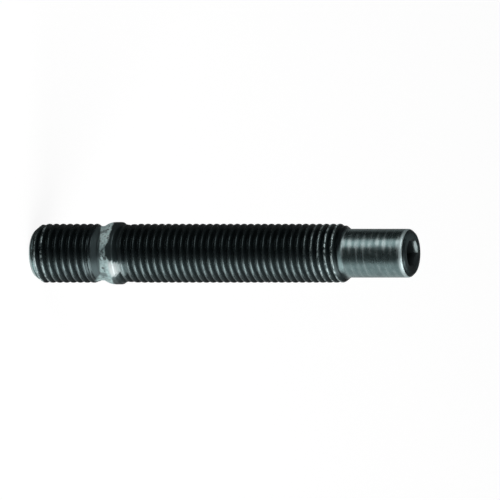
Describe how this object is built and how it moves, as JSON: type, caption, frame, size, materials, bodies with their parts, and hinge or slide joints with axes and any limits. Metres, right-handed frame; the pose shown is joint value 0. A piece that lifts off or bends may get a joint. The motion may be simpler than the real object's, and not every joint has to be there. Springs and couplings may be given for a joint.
{
  "type": "double ended stud",
  "caption": "Steel stud threaded at both ends, with a pressed stop collar between the threads, a plain pilot beyond the long one and a hexagon socket in the pilot's end.",
  "frame": {"origin": "centre of the flat face of the hub end, the short threaded end, on which the stud stands", "axes": "+Z along the stud's axis, from the hub end through the collar to the pilot; two flats of the hexagon socket face +X and -X"},
  "size_m": [0.0126, 0.0126, 0.082],
  "materials": {
    "blackened_steel": "oiled black oxide on the threads, bare bright steel rubbed through on the collar and the pilot"
  },
  "bodies": {
    "root": {"stud": "blackened_steel"}
  },
  "joints": []
}
